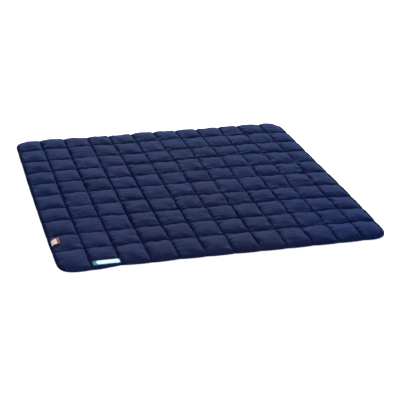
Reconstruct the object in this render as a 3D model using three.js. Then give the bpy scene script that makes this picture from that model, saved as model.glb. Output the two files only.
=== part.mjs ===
// A quilted blanket for a dog, lying flat on the floor: one padded body,
// stitched through in twelve columns and ten rows of soft pockets, with rounded
// corners and a thin topstitched edge, and two woven labels sewn on.
//
// Units are millimetres and +Z is up. The origin is on the floor under the
// middle of the blanket. X runs from side to side and Y from front to back.

import * as THREE from 'three';

// ---------------------------------------------------------------------------
// Driving dimensions
// ---------------------------------------------------------------------------

const WIDTH = 907;            // side to side
const DEPTH = 832;            // front to back
const CORNER_RADIUS = 42;
const COLUMNS = 12;
const ROWS = 10;
const COLUMN_PITCH = 75;      // between two seams that run front to back
const ROW_PITCH = 80.3;       // between two seams that run side to side
const FIRST_COLUMN = 84.3;    // left edge to the first column seam
const FIRST_ROW = 100.8;      // front edge to the first row seam

const EDGE_THICKNESS = 3.6;   // the turned and topstitched edge
const EDGE_MARGIN = 5;        // outline to the topstitching
const EDGE_DRAW_IN = 2.2;     // how far a seam pulls the outline in
const SEAM_TOP = 7;           // the stitched-down fabric, above the floor
const SEAM_BOTTOM = 4.5;      // the same seam seen from underneath
const CROWN_HEIGHT = 16.5;    // top of an average pocket
const CROWN_SPREAD = 0.07;    // how much fuller or flatter a pocket may be

const SHOULDER = 0.17;        // share of a pocket that its rounded side takes
const OUTER_SHOULDER = 16;    // the same on the outermost pockets, from the outline
const FULLNESS = 0.5;         // 1 is a half wave, less is squarer and plumper

const LABEL_GAP = 0.5;        // between a label and the cloth under it

// The pocket that the front label is sewn to. The label holds it level across
// its front part, at this share of a free pocket's height.
const HELD_POCKET = { column: 1, row: 0, share: 0.62 };

// How far each edge stays inside the overall size, in millimetres, at evenly
// spaced places along it: front and back from left to right, left and right
// from front to back.
const EDGE_INSET = {
  front: [0, 1, 9, 6, 8, 6.5, 5.5, 4, 3, 3, 2, 2, 0],
  back: [17, 14, 14, 7, 6, 1, 0],
  left: [2, 0, 0, 0.5, 2.5, 4],
  right: [7, 2, 0, 0.5, 0, 1.5],
};

// How far each row seam wanders towards the back, in millimetres, at the left
// edge, at a third, at two thirds and at the right edge.
const ROW_DRIFT = [
  { row: 1, left: -1, third: 0, twoThirds: -2, right: -6 },
  { row: 2, left: -2, third: 0, twoThirds: -4, right: -6 },
  { row: 3, left: -1, third: 0, twoThirds: -1, right: -10 },
  { row: 4, left: -8, third: -2, twoThirds: -6, right: -10 },
  { row: 5, left: -4, third: -2, twoThirds: 2, right: -1 },
  { row: 6, left: -12, third: -6, twoThirds: -3, right: -4 },
  { row: 7, left: -13, third: -10, twoThirds: 4, right: 4 },
  { row: 8, left: -15, third: -9, twoThirds: 0, right: 2 },
  { row: 9, left: -13, third: -3, twoThirds: 3, right: -1 },
];

// The same for the column seams, towards the right, at the front edge, at a
// third, at two thirds and at the back edge.
const COLUMN_DRIFT = [
  { column: 1, front: -1, third: -4, twoThirds: -2, back: -3 },
  { column: 2, front: -1, third: -4, twoThirds: -3, back: -2 },
  { column: 3, front: 0, third: -2, twoThirds: -1, back: -1 },
  { column: 4, front: -1, third: -3, twoThirds: -3, back: -6 },
  { column: 5, front: -4, third: -3, twoThirds: -2, back: -4 },
  { column: 6, front: -5, third: -3, twoThirds: 0, back: -6 },
  { column: 7, front: -7, third: -5, twoThirds: -1, back: -5 },
  { column: 8, front: -10, third: -6, twoThirds: -2, back: -8 },
  { column: 9, front: -12, third: -8, twoThirds: -4, back: -4 },
  { column: 10, front: -13, third: -11, twoThirds: -3, back: -11 },
  { column: 11, front: -15, third: -11, twoThirds: -3, back: -7 },
];

// Each label: its size as it lies, how thick it is, how far its near left
// corner is from the left and the front edge, and how many facets it takes.
const LABELS = {
  front_label: {
    width: 68, depth: 20, thickness: 1, fromLeft: 89, fromFront: 13.5, facets: [12, 4],
    color: 0x1f8f86,
  },
  side_label: {
    width: 21, depth: 27, thickness: 1.6, fromLeft: 7, fromFront: 127.5, facets: [5, 5],
    color: 0xc8462e,
  },
};

// ---------------------------------------------------------------------------
// Where the seams run
// ---------------------------------------------------------------------------

// A smooth value through evenly spaced ones, for t from 0 to 1.
function through(knots, t) {
  const place = THREE.MathUtils.clamp(t, 0, 1) * (knots.length - 1);
  const span = Math.min(Math.floor(place), knots.length - 2);
  return THREE.MathUtils.lerp(
    knots[span], knots[span + 1], THREE.MathUtils.smoothstep(place - span, 0, 1));
}

// The outline is pulled in a little where a seam runs out to it.
function outlinePull(across, count) {
  const fromSeam = Math.abs(across - Math.round(across));
  const atCorner = across < 0.5 || across > count - 0.5;
  return atCorner ? 0 : EDGE_DRAW_IN * Math.max(0, 1 - fromSeam / SHOULDER);
}

// X of column seam 0 to 12, where 0 and 12 are the side edges.
function columnSeam(seam, rowPlace) {
  const along = rowPlace / ROWS;
  const pull = outlinePull(rowPlace, ROWS);
  if (seam === 0) return -WIDTH / 2 + through(EDGE_INSET.left, along) + pull;
  if (seam === COLUMNS) return WIDTH / 2 - through(EDGE_INSET.right, along) - pull;
  const { front, third, twoThirds, back } = COLUMN_DRIFT[seam - 1];
  return -WIDTH / 2 + FIRST_COLUMN + (seam - 1) * COLUMN_PITCH
    + through([front, third, twoThirds, back], along);
}

// Y of row seam 0 to 10, where 0 and 10 are the front and the back edge.
function rowSeam(seam, columnPlace) {
  const along = columnPlace / COLUMNS;
  const pull = outlinePull(columnPlace, COLUMNS);
  if (seam === 0) return -DEPTH / 2 + through(EDGE_INSET.front, along) + pull;
  if (seam === ROWS) return DEPTH / 2 - through(EDGE_INSET.back, along) - pull;
  const { left, third, twoThirds, right } = ROW_DRIFT[seam - 1];
  return -DEPTH / 2 + FIRST_ROW + (seam - 1) * ROW_PITCH
    + through([left, third, twoThirds, right], along);
}

// ---------------------------------------------------------------------------
// The lines of the facets, as places: 3.5 is half way across pocket 3
// ---------------------------------------------------------------------------

function facetLines(count, firstSize, lastSize) {
  const fromEdge = (size) => [
    0, EDGE_MARGIN / size, OUTER_SHOULDER / size, CORNER_RADIUS / size, 1 - SHOULDER,
  ];
  const lines = [...fromEdge(firstSize)];
  for (let pocket = 1; pocket < count - 1; pocket += 1) {
    lines.push(pocket, pocket + SHOULDER, pocket + 0.5, pocket + 1 - SHOULDER);
  }
  lines.push(count - 1);
  lines.push(...fromEdge(lastSize).reverse().map((share) => count - share));
  return lines;
}

const LAST_COLUMN = WIDTH - FIRST_COLUMN - (COLUMNS - 2) * COLUMN_PITCH;
const LAST_ROW = DEPTH - FIRST_ROW - (ROWS - 2) * ROW_PITCH;
const COLUMN_LINES = facetLines(COLUMNS, FIRST_COLUMN, LAST_COLUMN);
const ROW_LINES = facetLines(ROWS, FIRST_ROW, LAST_ROW);

// ---------------------------------------------------------------------------
// The padding
// ---------------------------------------------------------------------------

// Which pocket a place is in, how far through it is, and how far along the
// part of it that is padded, which stops at the topstitching.
function inPocket(place, count, firstSize, lastSize) {
  const pocket = Math.min(Math.floor(place + 1e-9), count - 1);
  const share = place - pocket;
  let padded = share;
  if (pocket === 0) padded = (share - EDGE_MARGIN / firstSize) / (1 - EDGE_MARGIN / firstSize);
  if (pocket === count - 1) padded = share / (1 - EDGE_MARGIN / lastSize);
  return { pocket, share, padded: THREE.MathUtils.clamp(padded, 0, 1) };
}

// The rounded section of a pocket: 0 at its seams and 1 in its middle.
function arch(padded) {
  return Math.max(0, Math.sin(Math.PI * padded)) ** FULLNESS;
}

// The seams lie high inside the blanket and come down to its thin edge.
function seamLevel({ pocket, padded }, count) {
  if (pocket === 0) return THREE.MathUtils.smoothstep(padded, 0, 1);
  if (pocket === count - 1) return 1 - THREE.MathUtils.smoothstep(padded, 0, 1);
  return 1;
}

// No two pockets hold quite the same filling.
function filling(column, row) {
  return 1 + CROWN_SPREAD * Math.sin(2.4 * column + 1.3 * row)
    * Math.cos(1.1 * column - 3.7 * row);
}

// The section across a pocket, which the front label holds down where it lies.
function archAcross(column, row) {
  const free = arch(column.padded);
  if (column.pocket !== HELD_POCKET.column || row.pocket !== HELD_POCKET.row) return free;
  const release = THREE.MathUtils.smoothstep(row.share, 0.1, 0.9);
  return Math.min(free, THREE.MathUtils.lerp(HELD_POCKET.share, 1, release));
}

// The groove along a seam underneath; the rest of a pocket is flat on the floor.
function underGroove({ pocket, share }, count) {
  const atOutline = (pocket === 0 && share < 0.5) || (pocket === count - 1 && share > 0.5);
  const fromSeam = Math.min(share, 1 - share);
  return atOutline ? 0 : Math.max(0, 1 - fromSeam / SHOULDER);
}

function heights(columnPlace, rowPlace) {
  const column = inPocket(columnPlace, COLUMNS, FIRST_COLUMN, LAST_COLUMN);
  const row = inPocket(rowPlace, ROWS, FIRST_ROW, LAST_ROW);
  const level = seamLevel(column, COLUMNS) * seamLevel(row, ROWS);
  const seam = THREE.MathUtils.lerp(EDGE_THICKNESS, SEAM_TOP, level);
  const puff = archAcross(column, row) * arch(row.padded) * filling(column.pocket, row.pocket);
  const groove = Math.max(underGroove(column, COLUMNS), underGroove(row, ROWS));
  return {
    top: seam + (CROWN_HEIGHT - seam) * puff,
    bottom: SEAM_BOTTOM * groove * level,
  };
}

// Inside a corner's square the lines bend from straight to round.
function roundCorner(point, columnPlace, rowPlace) {
  const sideX = Math.sign(point.x);
  const sideY = Math.sign(point.y);
  const centreX = columnSeam(sideX < 0 ? 0 : COLUMNS, rowPlace) - sideX * CORNER_RADIUS;
  const centreY = rowSeam(sideY < 0 ? 0 : ROWS, columnPlace) - sideY * CORNER_RADIUS;
  const outX = (point.x - centreX) * sideX;
  const outY = (point.y - centreY) * sideY;
  if (outX <= 0 || outY <= 0) return;
  const shrink = Math.max(outX, outY) / Math.hypot(outX, outY);
  point.x = centreX + (point.x - centreX) * shrink;
  point.y = centreY + (point.y - centreY) * shrink;
}

// ---------------------------------------------------------------------------
// The blanket
// ---------------------------------------------------------------------------

function makeQuilt() {
  const columnFacets = COLUMN_LINES.length - 1;
  const rowFacets = ROW_LINES.length - 1;
  const geometry = new THREE.BoxGeometry(1, 1, 1, columnFacets, rowFacets, 1);
  const positions = geometry.attributes.position;
  const point = new THREE.Vector3();
  for (let index = 0; index < positions.count; index += 1) {
    point.fromBufferAttribute(positions, index);
    const columnPlace = COLUMN_LINES[Math.round((point.x + 0.5) * columnFacets)];
    const rowPlace = ROW_LINES[Math.round((point.y + 0.5) * rowFacets)];
    const { top, bottom } = heights(columnPlace, rowPlace);
    const column = Math.min(Math.floor(columnPlace + 1e-9), COLUMNS - 1);
    const row = Math.min(Math.floor(rowPlace + 1e-9), ROWS - 1);
    const isTop = point.z > 0;
    point.x = THREE.MathUtils.lerp(
      columnSeam(column, rowPlace), columnSeam(column + 1, rowPlace), columnPlace - column);
    point.y = THREE.MathUtils.lerp(
      rowSeam(row, columnPlace), rowSeam(row + 1, columnPlace), rowPlace - row);
    point.z = isTop ? top : bottom;
    roundCorner(point, columnPlace, rowPlace);
    positions.setXYZ(index, point.x, point.y, point.z);
  }
  geometry.computeVertexNormals();
  return named('quilt', geometry, 0x2a3253, 0.85);
}

// ---------------------------------------------------------------------------
// The labels, which lie on the padding and follow it
// ---------------------------------------------------------------------------

function heightOn(surface, x, y) {
  const caster = new THREE.Raycaster(new THREE.Vector3(x, y, 100), new THREE.Vector3(0, 0, -1));
  return caster.intersectObject(surface)[0].point.z;
}

// The highest that the padding stands above the label's facets, between the
// points where the two meet.
function proudest(surface, xs, ys, meeting) {
  let proud = 0;
  for (let i = 0; i < xs.length - 1; i += 1) {
    for (let j = 0; j < ys.length - 1; j += 1) {
      for (const [s, t] of [[0.5, 0], [0, 0.5], [0.5, 0.5]]) {
        const low = THREE.MathUtils.lerp(meeting[i][j], meeting[i + 1][j], s);
        const high = THREE.MathUtils.lerp(meeting[i][j + 1], meeting[i + 1][j + 1], s);
        const x = THREE.MathUtils.lerp(xs[i], xs[i + 1], s);
        const y = THREE.MathUtils.lerp(ys[j], ys[j + 1], t);
        proud = Math.max(proud, heightOn(surface, x, y) - THREE.MathUtils.lerp(low, high, t));
      }
    }
  }
  return proud;
}

function makeLabel(name, label, surface) {
  const [across, along] = label.facets;
  const left = -WIDTH / 2 + label.fromLeft;
  const near = -DEPTH / 2 + label.fromFront;
  const xs = Array.from({ length: across + 1 }, (_, i) => left + (label.width * i) / across);
  const ys = Array.from({ length: along + 1 }, (_, j) => near + (label.depth * j) / along);
  const meeting = xs.map((x) => ys.map((y) => heightOn(surface, x, y)));
  const lift = LABEL_GAP + proudest(surface, xs, ys, meeting);

  const geometry = new THREE.BoxGeometry(1, 1, 1, across, along, 1);
  const positions = geometry.attributes.position;
  for (let index = 0; index < positions.count; index += 1) {
    const i = Math.round((positions.getX(index) + 0.5) * across);
    const j = Math.round((positions.getY(index) + 0.5) * along);
    const thickness = positions.getZ(index) > 0 ? label.thickness : 0;
    positions.setXYZ(index, xs[i], ys[j], meeting[i][j] + lift + thickness);
  }
  geometry.computeVertexNormals();
  return named(name, geometry, label.color, 0.7);
}

function named(name, geometry, color, roughness) {
  const material = new THREE.MeshStandardMaterial({ color, roughness, metalness: 0 });
  const mesh = new THREE.Mesh(geometry, material);
  mesh.name = name;
  return mesh;
}

const blanket = new THREE.Group();
const quilt = makeQuilt();
quilt.updateMatrixWorld();
blanket.add(quilt);
for (const [name, label] of Object.entries(LABELS)) {
  blanket.add(makeLabel(name, label, quilt));
}

export default blanket;
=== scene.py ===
# %% [markdown]
# # A quilted dog blanket
#
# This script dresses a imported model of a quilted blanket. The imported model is
# the fixed frame: a low, faceted solid with the right size, seams and labels.
# Here it gets its looks: plump pockets, puckered seams, stitches, woven labels
# and cloth. Blender works in metres, so sizes in millimetres are written as a
# number times MM.

# %% Load the frame
import math

import bpy
import numpy as np
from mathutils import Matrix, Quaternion, Vector
from mathutils.bvhtree import BVHTree


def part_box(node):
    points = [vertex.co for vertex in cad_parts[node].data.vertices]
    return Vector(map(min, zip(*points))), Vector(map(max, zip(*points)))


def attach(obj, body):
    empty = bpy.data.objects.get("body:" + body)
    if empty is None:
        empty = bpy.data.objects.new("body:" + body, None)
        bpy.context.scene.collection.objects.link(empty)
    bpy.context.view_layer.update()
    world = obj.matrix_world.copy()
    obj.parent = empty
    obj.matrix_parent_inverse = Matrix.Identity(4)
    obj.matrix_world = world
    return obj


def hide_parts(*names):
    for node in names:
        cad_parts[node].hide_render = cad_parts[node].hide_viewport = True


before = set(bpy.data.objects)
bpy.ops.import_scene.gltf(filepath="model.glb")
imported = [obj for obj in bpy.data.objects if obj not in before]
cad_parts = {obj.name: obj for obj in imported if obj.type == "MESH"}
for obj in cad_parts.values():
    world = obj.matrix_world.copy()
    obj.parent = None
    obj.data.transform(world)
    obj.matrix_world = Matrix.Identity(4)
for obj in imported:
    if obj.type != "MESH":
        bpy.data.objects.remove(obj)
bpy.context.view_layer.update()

MM = 0.001
BODY = "root"
quilt_low, quilt_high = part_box("quilt")
print("blanket size, mm:", [round(x / MM) for x in quilt_high - quilt_low])

# %% [markdown]
# ## The camera
#
# The blanket lies on the floor and is seen from its front left. A camera on a
# long lens is placed by where it looks, from which side, from how high and how
# far away. It is also turned a little about its own line of sight, which is
# called roll: the far edge of the blanket climbs to the right. The lamps are
# placed by the same helper further down.

# %% Camera
CAMERA_PLACE = dict(
    azimuth=-19.36, elevation=26.31, distance=2.627, target=(0.007, -0.0945, 0.0), roll=3.74)
CAMERA_LENS = 83.1
FARTHEST_SEEN = 50.0


def add_object(name, data):
    """Puts a mesh, a lamp or a camera in the scene."""
    item = bpy.data.objects.new(name, data)
    bpy.context.scene.collection.objects.link(item)
    return item


def add_looking(name, data, azimuth, elevation, distance, target=(0, 0, 0), roll=0):
    """Adds a camera or a lamp that looks at a target from some side and height."""
    a, e = math.radians(azimuth), math.radians(elevation)
    towards = Vector((math.sin(a) * math.cos(e), -math.cos(a) * math.cos(e), math.sin(e)))
    item = add_object(name, data)
    item.location = Vector(target) + towards * distance
    item.rotation_mode = "QUATERNION"
    item.rotation_quaternion = (
        (-towards).to_track_quat("-Z", "Y") @ Quaternion((0, 0, 1), math.radians(roll)))
    return item


camera_data = bpy.data.cameras.new("camera")
camera_data.lens = CAMERA_LENS
camera_data.clip_end = FARTHEST_SEEN
camera = add_looking("camera", camera_data, **CAMERA_PLACE)
bpy.context.scene.camera = camera
print("camera at", [round(x, 3) for x in camera.location])

# %% [markdown]
# ## Where the seams run
#
# A quilted blanket is one big sandwich of cloth, filling and cloth, sewn
# through along straight lines that were never quite straight. Every shape
# below is worked out from a *place* in the blanket: 3.5 columns across and 2.0
# rows back is half way over the fourth pocket, on the second row seam. The
# seams could be drawn as curves by hand, but tables that say how far each seam
# wanders are shorter, and numpy works on all the places at once.

# %% Seam tables
COLUMNS, ROWS = 12, 10
COLUMN_PITCH, ROW_PITCH = 75.0 * MM, 80.3 * MM
FIRST_COLUMN, FIRST_ROW = 84.3 * MM, 100.8 * MM
WIDTH, DEPTH = 907.0 * MM, 832.0 * MM
LAST_COLUMN = WIDTH - FIRST_COLUMN - (COLUMNS - 2) * COLUMN_PITCH
LAST_ROW = DEPTH - FIRST_ROW - (ROWS - 2) * ROW_PITCH

EDGE_INSET = {
    "front": [0, 1, 9, 6, 8, 6.5, 5.5, 4, 3, 3, 2, 2, 0],
    "back": [17, 14, 14, 7, 6, 1, 0],
    "left": [2, 0, 0, 0.5, 2.5, 4],
    "right": [7, 2, 0, 0.5, 0, 1.5],
}
ROW_DRIFT = [      # left edge, a third, two thirds, right edge
    [-1, 0, -2, -6], [-2, 0, -4, -6], [-1, 0, -1, -10], [-8, -2, -6, -10], [-4, -2, 2, -1],
    [-12, -6, -3, -4], [-13, -10, 4, 4], [-15, -9, 0, 2], [-13, -3, 3, -1],
]
COLUMN_DRIFT = [   # front edge, a third, two thirds, back edge
    [-1, -4, -2, -3], [-1, -4, -3, -2], [0, -2, -1, -1], [-1, -3, -3, -6],
    [-4, -3, -2, -4], [-5, -3, 0, -6], [-7, -5, -1, -5], [-10, -6, -2, -8],
    [-12, -8, -4, -4], [-13, -11, -3, -11], [-15, -11, -3, -7],
]

# %% Smooth steps
TINY = 1e-9
SAME = 1e-6                           # places nearer than this are one place


def smooth(t):
    """0 below 0, 1 above 1, and a soft step in between."""
    t = np.clip(t, 0, 1)
    return t * t * (3 - 2 * t)


def through(knots, t):
    """A smooth value through evenly spaced ones, for t from 0 to 1."""
    knots = np.asarray(knots, float) * MM
    place = np.clip(t, 0, 1) * (len(knots) - 1)
    span = np.minimum(place.astype(int), len(knots) - 2)
    return knots[span] + (knots[span + 1] - knots[span]) * smooth(place - span)


def by_inner_seam(place, count):
    """True where the nearest seam lies inside the blanket and isn't an edge."""
    return (place > 0.5) & (place < count - 0.5)


# %% Hand-guided seams
WANDER = 0.7 * MM
WANDER_STEPS, WANDER_KNOTS = 3, 40    # steps to a pocket, and knots to a seam
JOG = 2.0 * MM
JOG_COLUMNS, JOG_ROWS = (4.5, 11.5), (0.8, 9.2)
JOG_FADE = 2.0
JOG_ELSEWHERE = 0.15
JOG_LET_GO = 0.03

wander_rng = np.random.default_rng(3)
wander_knots = wander_rng.uniform(-1, 1, (2, COLUMNS + 1, WANDER_KNOTS))


def wander(family, seam, place):
    """A hand-guided seam strays a little to both sides."""
    step = place * WANDER_STEPS
    first = np.clip(np.floor(step).astype(int), 0, WANDER_KNOTS - 2)
    share = smooth(step - first)
    knots = wander_knots[family, seam]
    return WANDER * (knots[first] * (1 - share) + knots[first + 1] * share)


def jog(u, v):
    """Sideways push of the cloth within a row, which the next row seam lets go."""
    share = v - np.round(v)
    within = np.where(share < 0, share + 0.5, share - 0.5) * smooth(np.abs(share) / JOG_LET_GO)
    most = 1
    for place, (low, high) in ((u, JOG_COLUMNS), (v, JOG_ROWS)):
        most = most * smooth((place - low) / JOG_FADE) * smooth((high - place) / JOG_FADE)
    return 2 * JOG * within * (JOG_ELSEWHERE + most)


# %% Seams and edges
EDGE_DRAW_IN = 2.2 * MM
DRAW_IN_SHARE = 0.17
LEFT_PULL = 0.3                       # the left edge is the straightest


def outline_pull(across, count):
    """How far a seam that runs out to the edge draws the outline in."""
    from_seam = np.abs(across - np.round(across))
    pull = EDGE_DRAW_IN * np.maximum(0, 1 - from_seam / DRAW_IN_SHARE)
    return np.where(by_inner_seam(across, count), pull, 0)


def column_seam(seam, v):
    """X of column seam 0 to 12 at row place v; 0 and 12 are the side edges."""
    if seam == 0:
        inset = through(EDGE_INSET["left"], v / ROWS)
        return -WIDTH / 2 + inset + LEFT_PULL * outline_pull(v, ROWS)
    if seam == COLUMNS:
        return WIDTH / 2 - through(EDGE_INSET["right"], v / ROWS) - outline_pull(v, ROWS)
    start = -WIDTH / 2 + FIRST_COLUMN + (seam - 1) * COLUMN_PITCH
    return start + through(COLUMN_DRIFT[seam - 1], v / ROWS) + wander(0, seam, v)


def row_seam(seam, u):
    """Y of row seam 0 to 10 at column place u; 0 and 10 are the front and back."""
    if seam == 0:
        return -DEPTH / 2 + through(EDGE_INSET["front"], u / COLUMNS) + outline_pull(u, COLUMNS)
    if seam == ROWS:
        return DEPTH / 2 - through(EDGE_INSET["back"], u / COLUMNS) - outline_pull(u, COLUMNS)
    start = -DEPTH / 2 + FIRST_ROW + (seam - 1) * ROW_PITCH
    return start + through(ROW_DRIFT[seam - 1], u / COLUMNS) + wander(1, seam, u)


# %% From a place to a point
CORNER_RADIUS, FRONT_RIGHT_RADIUS = 42.0 * MM, 53.0 * MM


def between_seams(place, other, seam, count):
    """The coordinate at a place, between the seams on its two sides."""
    pocket = np.clip(place.astype(int), 0, count - 1)
    low, high = np.zeros_like(place), np.zeros_like(place)
    for number in range(count):
        here = pocket == number
        low[here] = seam(number, other[here])
        high[here] = seam(number + 1, other[here])
    return low + (high - low) * (place - pocket)


def round_off(x, y, edge_x, edge_y, radius):
    """Bends the lines inside each corner's square from straight to round."""
    side_x, side_y = np.sign(x), np.sign(y)
    centre_x, centre_y = edge_x - side_x * radius, edge_y - side_y * radius
    out_x, out_y = (x - centre_x) * side_x, (y - centre_y) * side_y
    inside = (out_x > 0) & (out_y > 0)
    far = np.maximum(np.hypot(out_x, out_y), TINY)
    shrink = np.where(inside, np.maximum(out_x, out_y) / far, 1)
    return (np.where(inside, centre_x + (x - centre_x) * shrink, x),
            np.where(inside, centre_y + (y - centre_y) * shrink, y))


def plan(u, v):
    """X and Y of places, seen from above."""
    x = between_seams(u, v, column_seam, COLUMNS)
    y = between_seams(v, u, row_seam, ROWS)
    x = x + jog(u, v) * smooth(u) * smooth(COLUMNS - u)
    edge_x = np.where(x < 0, column_seam(0, v), column_seam(COLUMNS, v))
    edge_y = np.where(y < 0, row_seam(0, u), row_seam(ROWS, u))
    radius = np.where((x > 0) & (y < 0), FRONT_RIGHT_RADIUS, CORNER_RADIUS)
    return round_off(x, y, edge_x, edge_y, radius)


# %% [markdown]
# ## The padding before it is blown up
#
# The pockets start as low, even arches between the seams, as in the frame.
# The seams lie high inside the blanket and come down to its thin edge. An arch
# could be a sphere or a soft brush stroke. A sine raised to a power is chosen,
# because one number then says how full it is beside the seam.

# %% The section of a pocket
EDGE_MARGIN = 5.0 * MM                # from the edge to the hem's topstitching
SQUARENESS = 2.5


def in_pocket(place, count, first, last):
    """The pocket's number, and how far along it and its padded part a place is."""
    pocket = np.clip((place + TINY).astype(int), 0, count - 1)
    share = place - pocket
    m_first, m_last = EDGE_MARGIN / first, EDGE_MARGIN / last
    padded = np.where(pocket == 0, (share - m_first) / (1 - m_first), share)
    padded = np.where(pocket == count - 1, share / (1 - m_last), padded)
    return pocket, share, np.clip(padded, 0, 1)


def arch(padded, fullness):
    """The rounded section of a pocket, 0 at its seams and 1 in its middle."""
    return np.maximum(0, np.sin(np.pi * padded)) ** fullness


def square_product(a, b):
    """Like a times b for shares from 0 to 1, but fuller where both are small."""
    a, b = np.maximum(a, 1e-3), np.maximum(b, 1e-3)
    return (a ** -SQUARENESS + b ** -SQUARENESS - 1) ** (-1 / SQUARENESS)


def seam_level(pocket, padded, count):
    """1 inside the blanket, and down to 0 at its edges."""
    level = np.where(pocket == 0, smooth(padded), 1.0)
    return np.where(pocket == count - 1, 1 - smooth(padded), level)


# %% Each pocket's own filling
CROWN_SPREAD = 0.07
LEAN_SPREAD = 0.45


def filling(column, row):
    """No two pockets hold the same filling. Two waves out of step see to that."""
    return 1 + CROWN_SPREAD * np.sin(2.4 * column + 1.3 * row) * np.cos(1.1 * column - 3.7 * row)


def lean(column, row):
    """The filling sits a little to the front in one pocket, to the back in the next."""
    table = np.random.default_rng(5).uniform(-1, 1, (COLUMNS, ROWS))
    return LEAN_SPREAD * np.where((row > 0) & (row < ROWS - 1), table[column, row], 0)


# %% Height of the padding
EDGE_THICKNESS = 3.6 * MM
SEAM_TOP = 7.0 * MM
CROWN_HEIGHT = 16.5 * MM
FULLNESS_ACROSS_LEFT, FULLNESS_ACROSS_RIGHT = 0.55, 0.22
FULLNESS_ALONG = 0.68
FULLNESS_LEFT, FULLNESS_RIGHT, FULLNESS_BACK = 0.60, 0.95, 0.42     # of the outer slopes
HELD_COLUMN, HELD_ROW, HELD_SHARE = 1, 0, 0.62                      # by the front label
RELEASE_FROM, RELEASE_OVER = 0.1, 0.8                               # of that pocket's depth


def padding(u, v, share_of_crown):
    """Height of the top cloth, and how far inside the blanket a place is."""
    column, _, along_u = in_pocket(u, COLUMNS, FIRST_COLUMN, LAST_COLUMN)
    row, row_share, along_v = in_pocket(v, ROWS, FIRST_ROW, LAST_ROW)
    level = seam_level(column, along_u, COLUMNS) * seam_level(row, along_v, ROWS)
    seam = EDGE_THICKNESS + (SEAM_TOP - EDGE_THICKNESS) * level
    flatter = FULLNESS_ACROSS_RIGHT - FULLNESS_ACROSS_LEFT
    fullness = FULLNESS_ACROSS_LEFT + flatter * column / COLUMNS
    fullness = np.where((column == 0) & (along_u < 0.5), FULLNESS_LEFT, fullness)
    fullness = np.where((column == COLUMNS - 1) & (along_u > 0.5), FULLNESS_RIGHT, fullness)
    across = arch(along_u, fullness)
    held = (column == HELD_COLUMN) & (row == HELD_ROW)
    release = HELD_SHARE + (1 - HELD_SHARE) * smooth((row_share - RELEASE_FROM) / RELEASE_OVER)
    across = np.where(held, np.minimum(across, release), across)
    back = (row == ROWS - 1) & (along_v > 0.5) & (column > 0)
    along = arch(along_v, np.where(back, FULLNESS_BACK, FULLNESS_ALONG))
    leaning = 1 + lean(column, row) * (along_v - 0.5)
    puff = square_product(across, along) * filling(column, row) * leaning * share_of_crown
    return seam + (CROWN_HEIGHT - seam) * puff, level


# %% [markdown]
# ## The top cloth
#
# A grid of cloth is laid over the places, with a fixed number of steps to a
# pocket and two more over the turned edge. The lines lie closer together near
# a seam, where the cloth bends most.

# %% Grid lines
HALF_POCKET = [0, 0.035, 0.085, 0.155, 0.245, 0.36]
EDGE_STEPS = 2      # over the turned edge, an even number
POCKET_LINES = np.array(HALF_POCKET + [0.5] + [1 - share for share in HALF_POCKET[:0:-1]])


def grid_lines(count, first, last):
    """Places of the grid lines from edge to edge."""
    m_first, m_last = EDGE_MARGIN / first, EDGE_MARGIN / last
    edge = np.arange(EDGE_STEPS) / EDGE_STEPS
    lines = [edge * m_first, m_first + POCKET_LINES * (1 - m_first)]
    lines += [pocket + POCKET_LINES for pocket in range(1, count - 1)]
    lines += [count - 1 + POCKET_LINES * (1 - m_last), count - m_last + edge * m_last, [count]]
    return np.concatenate(lines)


def on_seam(places, count, first, last):
    """True on the inner seams and on the turned edge outside the topstitching."""
    near = np.abs(places - np.round(places)) < SAME
    on_edge = places < EDGE_MARGIN / first + SAME
    return near | on_edge | (places > count - EDGE_MARGIN / last - SAME)


U, V = np.meshgrid(
    grid_lines(COLUMNS, FIRST_COLUMN, LAST_COLUMN), grid_lines(ROWS, FIRST_ROW, LAST_ROW),
    indexing="ij")
sewn = on_seam(U, COLUMNS, FIRST_COLUMN, LAST_COLUMN) | on_seam(V, ROWS, FIRST_ROW, LAST_ROW)
print("cloth grid:", U.shape[0], "by", U.shape[1], "points")

# %% [markdown]
# ## Air under the cloth
#
# The grid is sewn down along the seams, which means pinned, and air is blown in
# under it with Blender's Cloth. The cloth is cut a little larger than the space
# between its seams, as quilting always draws cloth in, so it crowns and
# wrinkles by itself. The wrinkles could be sculpted, but a simulation knows
# where spare cloth goes. Only each pocket's own creases are kept, on top of the
# even arches, so the crowns keep their height.

# %% Read and write all points at once
def read_vectors(data, key):
    """A vector of every point of a mesh, as an array."""
    values = np.empty(len(data) * 3, np.float32)
    data.foreach_get(key, values)
    return values.reshape(-1, 3).astype(float)


def write_vectors(data, key, values):
    """Writes an array back to every point."""
    data.foreach_set(key, values.astype(np.float32).ravel())


def grid_faces(index):
    """The four corners of every square of a grid of point numbers."""
    corners = (index[:-1, :-1], index[1:, :-1], index[1:, 1:], index[:-1, 1:])
    return np.stack(corners, -1).reshape(-1, 4)


# %% The simulation
SIM_FRAMES = 24
CLOTH = dict(
    quality=6, mass=0.2, tension_stiffness=25, compression_stiffness=25, shear_stiffness=8,
    bending_stiffness=0.3, air_damping=3, vertex_group_mass="sewn",
    use_pressure=True, uniform_pressure_force=6.0, shrink_min=-0.05)


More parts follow.
